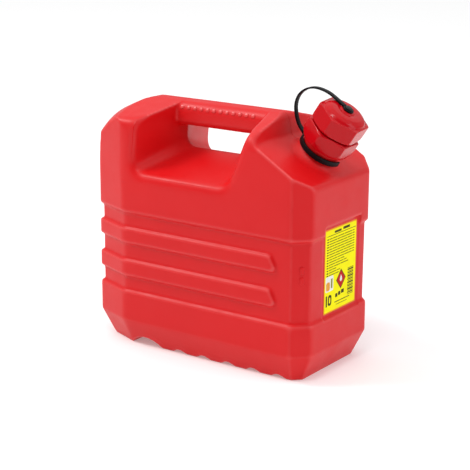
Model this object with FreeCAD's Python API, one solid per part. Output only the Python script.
"""Ten-litre blow-moulded fuel can with a hex screw closure, a stored pour spout and a cap strap.

Frame: X along the length with the spout end at +X, Y across the width, Z up.
Origin: bottom centre of the can, on the plane that its feet stand on.  Units: millimetres and degrees.
"""
import FreeCAD, Part
import math
import os

V = FreeCAD.Vector

# ---------------------------------------------------------------- driving dimensions: tank
LENGTH = 312.0
WIDTH = 159.4
HEIGHT = 298.6
WALL = 2.2
SPLIT_Z = 205.0                 # the moulding is written as a lower and an upper shell, parted here
NECK_PART_HALF = 27.4           # and as the neck with the square of shoulder round its root
CORNER_R, REAR_CORNER_R = 7.0, 24.0

SPOUT_CHAMFER = 18.4            # upright corner chamfers at the spout end
REAR_CHAMFER_X = 53.4           # long upright chamfers at the rear end
REAR_CHAMFER_Y = 21.4
FOOT_HEIGHT = 32.6              # the tank tapers in below this height
FOOT_INSET = 14.9

SHOULDER_END_Z = 229.4          # low edge of the sloping shoulder, at the spout end
SHOULDER_TILT = 31.5            # slope of the shoulder
NECK_TILT = 34.0                # lean of the neck from upright
NECK_X = 120.6
VALLEY_X = 85.9                 # foot of the wall between the handle and the shoulder
CREST_X = 80.2
REAR_LEAN_Z = 215.0             # the rear face leans in above this height
REAR_TOP_X = -147.4
REAR_TOP_Z = 283.7
REAR_CREST_X = -111.4
SHOULDER_END_R, VALLEY_R, CREST_R = 9.0, 7.0, 11.0
REAR_CREST_R, REAR_TOP_R, REAR_LEAN_R = 90.0, 16.0, 60.0

REAR_ROLL_LOW_Z = 225.0         # below this height the rear roll cuts nothing
CROWN_FLAT = 6.0                # half width of the level top
CROWN_EDGE_Z = 280.6            # height of the crowned top at the side faces
CROWN_R, CROWN_EDGE_R = 40.0, 12.0
# the crown rolls over towards the rear: X, half width, height at the middle, height at that half width
REAR_ROLL = ((-108.0, 84.0, 300.0, 281.5), (-131.0, 75.0, 290.0, 269.0),
             (-148.0, 66.0, 282.5, 254.5), (-162.0, 63.0, 274.0, 238.0))

# hand recess: a pocket in each side that meets its twin under the handle
RECESS_REAR_X, RECESS_REAR_MID_X = -89.8, -65.3
RECESS_FRONT_X, RECESS_FRONT_MID_X = 48.0, 34.6
RECESS_FLOOR_Z, RECESS_CREST_Z = 216.3, 240.5
RECESS_REAR_SLOPE, RECESS_FRONT_SLOPE = 0.089, 0.417
RECESS_REAR_R, RECESS_FRONT_R = 14.0, 16.0
HANDLE_HALF_WIDTH = 18.7
HANDLE_BOTTOM_Z = 268.8
HANDLE_LOW_R, HANDLE_TOP_R = 9.0, 14.0

BAND_LOW, BAND_HIGH = 68.2, 169.4
BAND_DEPTH = 3.8
BAND_RAMP = 2.9
RIBS = ((89.2, 108.3), (130.0, 148.4))      # lower and upper edge of each raised rib
RIB_END_X = 108.5
RIB_END_LEAN = 10.6
RIB_END_R = 5.0

PANEL_DEPTH = 4.4
PANEL_Y, PANEL_Z = (-34.6, 46.1), (68.2, 178.1)
LABEL_Y, LABEL_Z = (-29.8, 41.3), (73.0, 173.6)
LABEL_THICKNESS = 0.3

GRIP_CHANNEL_X, GRIP_CHANNEL_CHORD, GRIP_CHANNEL_RISE = -77.8, 44.2, 10.6
CHANNEL_FIRST_X, CHANNEL_PITCH, CHANNEL_COUNT = -28.4, 35.6, 5
CHANNEL_CHORD, CHANNEL_RISE = 18.6, 3.8

# ---------------------------------------------------------------- driving dimensions: closure
# heights run along the neck axis from the shoulder plane
NECK_BORE_R, NECK_ROOT_R, NECK_THREAD_R = 20.2, 24.0, 25.4
NECK_RIM = 32.6
NECK_DEPTH = 12.0               # how far below the shoulder plane the bore is cut
NECK_PITCH, NECK_TURNS, NECK_THREAD_LOW = 4.0, 2.6, 20.0
NECK_GASKET_T = 1.5
FLANGE_R, FLANGE_T = 25.2, 3.0
STUB_R, STUB_THREAD_R, STUB_BORE_R = 21.1, 22.1, 18.2
STUB_TOP = 57.2
SPOUT_TUBE_R, SPOUT_TIP_R, SPOUT_WALL, SPOUT_LENGTH = 19.6, 11.5, 1.8, 113.0
SPOUT_ROOT_R, SPOUT_ROOT_H = 18.2, -6.0      # where the tube starts its taper to the tip
COLLAR_BOTTOM, COLLAR_TOP, COLLAR_CORNER_R = 19.5, 40.3, 32.8
COLLAR_TURN, CAP_TURN = 31.0, 35.0           # how the two hexagons stand when screwed down
COLLAR_BORE_R, COLLAR_LIP_R = 25.7, 22.7
COLLAR_FLARE_H, COLLAR_EDGE_H = 7.0, 2.2
CAP_BOTTOM, CAP_SHOULDER, CAP_TOP = 43.6, 62.4, 69.5
CAP_CORNER_R, CAP_BORE_R = 31.9, 22.5
CAP_DOME = ((26.4, 62.4), (23.8, 66.0), (19.4, 68.6), (13.4, 68.9), (8.2, 68.9), (7.6, 69.5))
CAP_EDGE = 2.5
CAP_CEILING = 59.1
CAP_DISH = ((19.0, 59.1), (16.0, 66.1))
HEX_EDGE_R = 2.0
STUB_PITCH, STUB_TURNS, STUB_THREAD_LOW = 4.0, 2.2, 46.6
THREAD_WIDTH, THREAD_SINK = 1.3, 0.4
RIVET_R, RIVET_HEAD_R, RIVET_HOLE_R = 2.4, 4.6, 2.45
STRAP_WIDTH, STRAP_T, EYE_R = 6.0, 2.0, 6.6
HOOK_BORE_R, HOOK_T = 25.8, 2.0
HOOK_LOW, HOOK_HIGH = 8.4, 14.6
HOOK_START, HOOK_SPAN = 62.0, 296.0
# strap between eye and hook: distance from the neck axis, height, bend radius
STRAP_LOOP = ((22.0, 70.6, 60.0), (60.0, 67.0, 27.0), (60.0, 32.0, 22.0), (43.0, 15.0, 30.0))
STRAP_FOOT_H = 11.4


# ---------------------------------------------------------------- outline helpers
def inset_points(points, distance):
    """Move each side of a convex counter-clockwise polygon inwards."""
    count = len(points)
    lines = []
    for index in range(count):
        (x0, y0), (x1, y1) = points[index], points[(index + 1) % count]
        run = math.hypot(x1 - x0, y1 - y0)
        normal = (-(y1 - y0) / run, (x1 - x0) / run)
        lines.append((normal, normal[0] * x0 + normal[1] * y0 + distance))
    moved = []
    for index in range(count):
        (a, c), (b, d) = lines[index - 1], lines[index]
        det = a[0] * b[1] - a[1] * b[0]
        moved.append(((c * b[1] - a[1] * d) / det, (a[0] * d - c * b[0]) / det))
    return moved


def corner_arc(before, corner, after, radius):
    """Start, middle and end of the arc that rounds a corner."""
    into = (corner - before).normalize()
    out = (after - corner).normalize()
    half_turn = into.getAngle(out) / 2
    reach = radius * math.tan(half_turn)
    inward = (out - into).normalize()
    middle = corner + inward * (radius / math.cos(half_turn) - radius)
    return corner - into * reach, middle, corner + out * reach


def rounded_path(points, radii, closed=True):
    """Straight runs joined by tangent arcs; the same edge order for the same number of points."""
    count = len(points)
    arcs = []
    for index in range(count):
        if not closed and index in (0, count - 1):
            arcs.append((points[index], None, points[index]))
            continue
        before, after = points[index - 1], points[(index + 1) % count]
        arcs.append(corner_arc(before, points[index], after, radii[index]))
    edges = []
    for index in range(count if closed else count - 1):
        start, middle, end = arcs[index]
        if middle is not None:
            edges.append(Part.Arc(start, middle, end).toShape())
        edges.append(Part.LineSegment(end, arcs[(index + 1) % count][0]).toShape())
    return Part.Wire(edges)


def prism(wire, direction):
    return Part.Face(wire).extrude(direction)


def tube(outer_r, inner_r, low, high):
    ring = Part.makeCylinder(outer_r, high - low, V(0, 0, low))
    return ring.cut(Part.makeCylinder(inner_r, high - low, V(0, 0, low)))


def on_neck(shape):
    """Place a shape modelled on the Z axis, with the shoulder plane at 0, on the leaning neck."""
    placed = shape.copy()
    placed.Placement = FreeCAD.Placement(NECK_BASE, FreeCAD.Rotation(V(0, 1, 0), NECK_TILT))
    return placed


# ---------------------------------------------------------------- tank
SHOULDER_SLOPE = math.tan(math.radians(SHOULDER_TILT))
VALLEY_Z = SHOULDER_END_Z + (LENGTH / 2 - VALLEY_X) * SHOULDER_SLOPE
NECK_BASE = V(NECK_X, 0, SHOULDER_END_Z + (LENGTH / 2 - NECK_X) * SHOULDER_SLOPE)


def plan_wire(inset, z):
    x, y = LENGTH / 2, WIDTH / 2
    points = [(REAR_CHAMFER_X - x, -y), (x - SPOUT_CHAMFER, -y), (x, SPOUT_CHAMFER - y),
              (x, y - SPOUT_CHAMFER), (x - SPOUT_CHAMFER, y), (REAR_CHAMFER_X - x, y),
              (-x, y - REAR_CHAMFER_Y), (-x, REAR_CHAMFER_Y - y)]
    radii = [REAR_CORNER_R] + [CORNER_R] * 4 + [REAR_CORNER_R] + [CORNER_R] * 2
    placed = [V(px, py, z) for px, py in inset_points(points, inset)]
    return rounded_path(placed, [max(radius - max(inset, 0) * 0.4, 2.0) for radius in radii])


def side_prism(inset):
    """The can's outline seen from the side, across the whole width."""
    x = LENGTH / 2
    points = [(-x, -40.0), (x, -40.0), (x, SHOULDER_END_Z), (VALLEY_X, VALLEY_Z),
              (CREST_X, HEIGHT), (REAR_CREST_X, HEIGHT), (REAR_TOP_X, REAR_TOP_Z), (-x, REAR_LEAN_Z)]
    radii = [1.0, 1.0, SHOULDER_END_R, VALLEY_R + inset, CREST_R, REAR_CREST_R, REAR_TOP_R, REAR_LEAN_R]
    placed = [V(px, -WIDTH, pz) for px, pz in inset_points(points, inset)]
    return prism(rounded_path(placed, radii), V(0, 2 * WIDTH, 0))


def crown_prism(inset):
    """The can's outline seen from the end, along the whole length."""
    y = WIDTH / 2
    points = [(-y, -40.0), (y, -40.0), (y, CROWN_EDGE_Z), (CROWN_FLAT, HEIGHT),
              (-CROWN_FLAT, HEIGHT), (-y, CROWN_EDGE_Z)]
    radii = [1.0, 1.0, CROWN_EDGE_R, CROWN_R, CROWN_R, CROWN_EDGE_R]
    placed = [V(-LENGTH, py, pz) for py, pz in inset_points(points, inset)]
    return prism(rounded_path(placed, radii), V(2 * LENGTH, 0, 0))


def rear_roll_cutter(inset):
    """What the rolled rear end of the crown leaves off."""
    sections = []
    for x, half, middle_z, side_z in REAR_ROLL:
        low = V(x, 0, 150.0)
        side = V(x, half, side_z - inset)
        other = V(x, -half, side_z - inset)
        roof = Part.Arc(side, V(x, 0, middle_z - inset), other).toShape()
        walls = Part.makePolygon([other, low + V(0, -half, 0), low + V(0, half, 0), side]).Edges
        sections.append(Part.Wire([roof] + walls))
    first_x, last_x = REAR_ROLL[0][0], REAR_ROLL[-1][0]
    block = Part.makeBox(first_x - last_x, 2 * WIDTH, HEIGHT, V(last_x, -WIDTH, REAR_ROLL_LOW_Z))
    return block.cut(Part.makeLoft(sections, True, True))


def trunk(inset):
    """The faceted upright body with its tapered foot."""
    foot = Part.makeLoft([plan_wire(FOOT_INSET + inset, inset), plan_wire(inset, FOOT_HEIGHT)], True, True)
    return foot.fuse(prism(plan_wire(inset, FOOT_HEIGHT), V(0, 0, HEIGHT))).removeSplitter()


def recess_section(share, inset):
    """The hand recess cut at a plane across Y: share is 0 at the middle and 1 at the side face."""
    def between(middle, side):
        return middle + (side - middle) * share
    rear = between(RECESS_REAR_MID_X, RECESS_REAR_X)
    front = between(RECESS_FRONT_MID_X, RECESS_FRONT_X)
    floor = between(RECESS_CREST_Z, RECESS_FLOOR_Z)
    climb = HEIGHT + 40.0 - floor
    points = [(rear, floor), (front, floor), (front + climb * RECESS_FRONT_SLOPE, floor + climb),
              (rear + climb * RECESS_REAR_SLOPE, floor + climb)]
    placed = [V(px, -share * WIDTH / 2, pz) for px, pz in inset_points(points, -inset)]
    return rounded_path(placed, [RECESS_REAR_R + inset, RECESS_FRONT_R + inset, 4.0, 4.0])


def handle_bar(inset):
    y = HANDLE_HALF_WIDTH
    points = [(-y, HANDLE_BOTTOM_Z), (y, HANDLE_BOTTOM_Z), (y, HEIGHT), (-y, HEIGHT)]
    placed = [V(-LENGTH / 2, py, pz) for py, pz in inset_points(points, inset)]
    radii = [HANDLE_LOW_R, HANDLE_LOW_R, HANDLE_TOP_R, HANDLE_TOP_R]
    return prism(rounded_path(placed, [radius - inset for radius in radii]), V(LENGTH, 0, 0))


def recess_cutter(inset):
    pocket = Part.makeLoft([recess_section(1.2, inset), recess_section(0.0, inset)], True, True)
    pockets = pocket.fuse(pocket.mirror(V(0, 0, 0), V(0, 1, 0)))
    return pockets.cut(handle_bar(inset))


def band_cutter(inset, with_ribs):
    """The groove round the tank, less the two ribs that are left proud in it."""
    depth = BAND_DEPTH + inset
    low, high = BAND_LOW - inset, BAND_HIGH + inset
    span = high - low
    block = Part.makeBox(2 * LENGTH, 2 * WIDTH, span, V(-LENGTH, -WIDTH, low))
    rise = BAND_RAMP * depth / BAND_DEPTH
    waist = Part.makeLoft([plan_wire(-0.5, low), plan_wire(depth, low + rise)], True, True)
    waist = waist.fuse(prism(plan_wire(depth, low + rise), V(0, 0, span - 2 * rise)))
    waist = waist.fuse(Part.makeLoft([plan_wire(depth, high - rise), plan_wire(-0.5, high)], True, True))
    groove = block.cut(waist)
    if with_ribs:
        for rib_low, rib_high in RIBS:
            corners = [V(-LENGTH, -WIDTH, rib_low), V(RIB_END_X + RIB_END_LEAN, -WIDTH, rib_low),
                       V(RIB_END_X, -WIDTH, rib_high), V(-LENGTH, -WIDTH, rib_high)]
            rib = rounded_path(corners, [1.0, RIB_END_R, RIB_END_R, 1.0])
            groove = groove.cut(prism(rib, V(0, 2 * WIDTH, 0)))
    return groove


def channel_cutters(inset):
    """Hand channel and drainage channels across the underside."""
    rows = [(GRIP_CHANNEL_X, GRIP_CHANNEL_CHORD, GRIP_CHANNEL_RISE)]
    for index in range(CHANNEL_COUNT):
        rows.append((CHANNEL_FIRST_X + index * CHANNEL_PITCH, CHANNEL_CHORD, CHANNEL_RISE))
    cutters = []
    for x, chord, rise in rows:
        radius = (chord * chord / 4 + rise * rise) / (2 * rise)
        cutters.append(Part.makeCylinder(radius + inset, 2 * WIDTH, V(x, -WIDTH, rise - radius), V(0, 1, 0)))
    return cutters


def tank_form(inset, with_ribs):
    """The tank's outer form when inset is 0, or the same form moved inwards."""
    form = trunk(inset).common(side_prism(inset)).common(crown_prism(inset))
    form = form.cut(rear_roll_cutter(inset))
    form = form.cut(recess_cutter(inset))
    form = form.cut(band_cutter(inset, with_ribs))
    panel = Part.makeBox(40.0, PANEL_Y[1] - PANEL_Y[0] + 2 * inset, PANEL_Z[1] - PANEL_Z[0] + 2 * inset,
                         V(LENGTH / 2 - PANEL_DEPTH - inset, PANEL_Y[0] - inset, PANEL_Z[0] - inset))
    form = form.cut(panel)
    for cutter in channel_cutters(inset):
        form = form.cut(cutter)
    return form


def thread_ridge(root_r, crest_r, pitch, low, turns):
    """A screw thread's ridge on a cylinder about the Z axis."""
    height = pitch * turns
    helix = Part.makeHelix(pitch, height, root_r)
    helix.translate(V(0, 0, low))
    half = THREAD_WIDTH / 2
    root = root_r - THREAD_SINK
    points = [V(root, 0, low - half - 0.5), V(crest_r, 0, low - half * 0.6),
              V(crest_r, 0, low + half * 0.6), V(root, 0, low + half + 0.5)]
    section = Part.makePolygon(points + [points[0]])
    return helix.makePipeShell([section], True, True)


def tank_moulding():
    """The whole hollow moulding: tank and neck."""
    outer = tank_form(0.0, True)
    neck = Part.makeCylinder(NECK_ROOT_R, NECK_RIM + 8.0, V(0, 0, -8.0))
    outer = outer.fuse(on_neck(neck))
    cavity = tank_form(WALL, False)
    bore = Part.makeCylinder(NECK_BORE_R, NECK_RIM + NECK_DEPTH, V(0, 0, -NECK_DEPTH))
    cavity = cavity.fuse(on_neck(bore))
    ridge = thread_ridge(NECK_ROOT_R, NECK_THREAD_R, NECK_PITCH, NECK_THREAD_LOW, NECK_TURNS)
    print("cavity litres", round(cavity.Volume / 1e6, 2))
    return outer.cut(cavity).fuse(on_neck(ridge))


def parted(moulding):
    """The moulding as a lower shell, an upper shell and the neck, which meet face to face."""
    below = Part.makeBox(2 * LENGTH, 2 * WIDTH, SPLIT_Z + 50.0, V(-LENGTH, -WIDTH, -50.0))
    half = NECK_PART_HALF
    tall = NECK_RIM + NECK_DEPTH
    neck_zone = on_neck(Part.makeBox(2 * half, 2 * half, tall, V(-half, -half, -NECK_DEPTH)))
    above = moulding.cut(below)
    return moulding.common(below), above.cut(neck_zone), above.common(neck_zone)


# ---------------------------------------------------------------- closure
def hexagon(corner_r, low, high, turn=0.0):
    corners = []
    for index in range(6):
        angle = math.radians(60 * index + turn)
        corners.append(V(corner_r * math.cos(angle), corner_r * math.sin(angle), low))
    return prism(rounded_path(corners, [HEX_EDGE_R] * 6), V(0, 0, high - low))


def turned(profile):
    """Revolve a closed (radius, height) outline about the Z axis."""
    points = [V(radius, 0, height) for radius, height in profile]
    return Part.Face(Part.makePolygon(points + [points[0]])).revolve(V(0, 0, 0), V(0, 0, 1), 360)


def neck_gasket():
    return tube(NECK_ROOT_R + 0.6, NECK_BORE_R + 0.2, NECK_RIM, NECK_RIM + NECK_GASKET_T)


def pour_spout():
    flange_low = NECK_RIM + NECK_GASKET_T
    flange_high = flange_low + FLANGE_T
    tip = flange_low - SPOUT_LENGTH
    shell = turned([(STUB_BORE_R, STUB_TOP), (STUB_R, STUB_TOP), (STUB_R, flange_high),
                    (FLANGE_R, flange_high), (FLANGE_R, flange_low), (SPOUT_TUBE_R, flange_low),
                    (SPOUT_ROOT_R, SPOUT_ROOT_H), (SPOUT_TIP_R, tip), (SPOUT_TIP_R - SPOUT_WALL, tip),
                    (SPOUT_ROOT_R - SPOUT_WALL, SPOUT_ROOT_H), (SPOUT_TUBE_R - SPOUT_WALL, flange_low)])
    return shell.fuse(thread_ridge(STUB_R, STUB_THREAD_R, STUB_PITCH, STUB_THREAD_LOW, STUB_TURNS))


def collar_nut():
    block = hexagon(COLLAR_CORNER_R, COLLAR_BOTTOM, COLLAR_TOP, COLLAR_TURN)
    flat_r = COLLAR_CORNER_R * math.cos(math.pi / 6)
    trim = turned([(0, COLLAR_BOTTOM), (flat_r + 0.4, COLLAR_BOTTOM),
                   (COLLAR_CORNER_R, COLLAR_BOTTOM + COLLAR_FLARE_H),
                   (COLLAR_CORNER_R, COLLAR_TOP - COLLAR_EDGE_H),
                   (flat_r - 0.2, COLLAR_TOP), (0, COLLAR_TOP)])
    block = block.common(trim)
    seat = NECK_RIM + NECK_GASKET_T + FLANGE_T + 0.05
    block = block.cut(Part.makeCylinder(COLLAR_BORE_R, seat - COLLAR_BOTTOM, V(0, 0, COLLAR_BOTTOM)))
    return block.cut(Part.makeCylinder(COLLAR_LIP_R, COLLAR_TOP, V(0, 0, COLLAR_BOTTOM)))


def cap():
    block = hexagon(CAP_CORNER_R, CAP_BOTTOM, CAP_SHOULDER, CAP_TURN)
    root = CAP_SHOULDER - 6.0
    dome = turned([(0, root), (CAP_DOME[0][0], root)] + list(CAP_DOME) + [(0, CAP_TOP)])
    skirt = turned([(0, CAP_BOTTOM), (CAP_CORNER_R - CAP_EDGE, CAP_BOTTOM),
                    (CAP_CORNER_R + 0.2, CAP_BOTTOM + CAP_EDGE), (CAP_CORNER_R + 0.2, CAP_SHOULDER),
                    (0, CAP_SHOULDER)])
    block = block.common(skirt).fuse(dome).removeSplitter()
    block = block.cut(Part.makeCylinder(CAP_BORE_R, CAP_CEILING - CAP_BOTTOM, V(0, 0, CAP_BOTTOM)))
    dish = turned([(0, CAP_CEILING)] + list(CAP_DISH) + [(0, CAP_DISH[-1][1])])
    block = block.cut(dish)
    return block.cut(Part.makeCylinder(RIVET_HOLE_R, 20.0, V(0, 0, CAP_TOP - 15.0)))


def cap_gasket():
    return tube(CAP_BORE_R - 0.1, STUB_BORE_R + 0.2, STUB_TOP, CAP_CEILING)


def strap_rivet():
    head_low = CAP_TOP + STRAP_T + 0.1
    barb_high = CAP_TOP - 3.5
    return turned([(0, head_low + 1.8), (RIVET_HEAD_R - 1.6, head_low + 1.7), (RIVET_HEAD_R, head_low + 0.8),
                   (RIVET_HEAD_R, head_low), (RIVET_R, head_low), (RIVET_R, barb_high),
                   (RIVET_R + 1.0, barb_high), (RIVET_R - 0.9, barb_high - 3.6), (0, barb_high - 3.6)])


def strap_route():
    """Middle line of the strap in the upright plane through the neck axis."""
    eye_z = CAP_TOP + 0.05 + STRAP_T / 2
    hook_r = HOOK_BORE_R + HOOK_T / 2
    points = [V(-EYE_R + 1.5, 0, eye_z)] + [V(-reach, 0, height) for reach, height, _ in STRAP_LOOP]
    points.append(V(-hook_r, 0, STRAP_FOOT_H))
    return points, [0] + [radius for _, _, radius in STRAP_LOOP] + [0]


def cap_strap():
    points, radii = strap_route()
    path = rounded_path(points, radii, closed=False)
    start = points[0]
    along = (points[1] - points[0]).normalize()
    across = V(0, STRAP_WIDTH / 2, 0)
    up = along.cross(V(0, 1, 0)) * (STRAP_T / 2)
    corners = [start + across + up, start - across + up, start - across - up, start + across - up]
    loop = path.makePipeShell([Part.makePolygon(corners + [corners[0]])], True, True)
    eye_low = CAP_TOP + 0.05
    eye = tube(EYE_R, RIVET_R + 0.15, eye_low, eye_low + STRAP_T)
    hook = tube(HOOK_BORE_R + HOOK_T, HOOK_BORE_R, HOOK_LOW, HOOK_HIGH)
    sector = Part.makeCylinder(60.0, 30.0, V(0, 0, 0), V(0, 0, 1), HOOK_SPAN)
    sector.rotate(V(0, 0, 0), V(0, 0, 1), HOOK_START)
    return loop.fuse(eye).fuse(hook.common(sector))


def label():
    return Part.makeBox(LABEL_THICKNESS, LABEL_Y[1] - LABEL_Y[0], LABEL_Z[1] - LABEL_Z[0],
                        V(LENGTH / 2 - PANEL_DEPTH, LABEL_Y[0], LABEL_Z[0]))


TANK_LOWER, TANK_UPPER, TANK_NECK = parted(tank_moulding())

NODES = {
    "tank_lower": TANK_LOWER,
    "tank_upper": TANK_UPPER,
    "tank_neck": TANK_NECK,
    "label": label(),
    "neck_gasket": on_neck(neck_gasket()),
    "pour_spout": on_neck(pour_spout()),
    "collar_nut": on_neck(collar_nut()),
    "cap": on_neck(cap()),
    "cap_gasket": on_neck(cap_gasket()),
    "strap_rivet": on_neck(strap_rivet()),
    "cap_strap": on_neck(cap_strap()),
}

os.makedirs("parts", exist_ok=True)
for name, shape in NODES.items():
    shape.exportStep("parts/" + name + ".step")
    print(name, "valid", shape.isValid(), "solids", len(shape.Solids), "cm3", round(shape.Volume / 1000, 2))
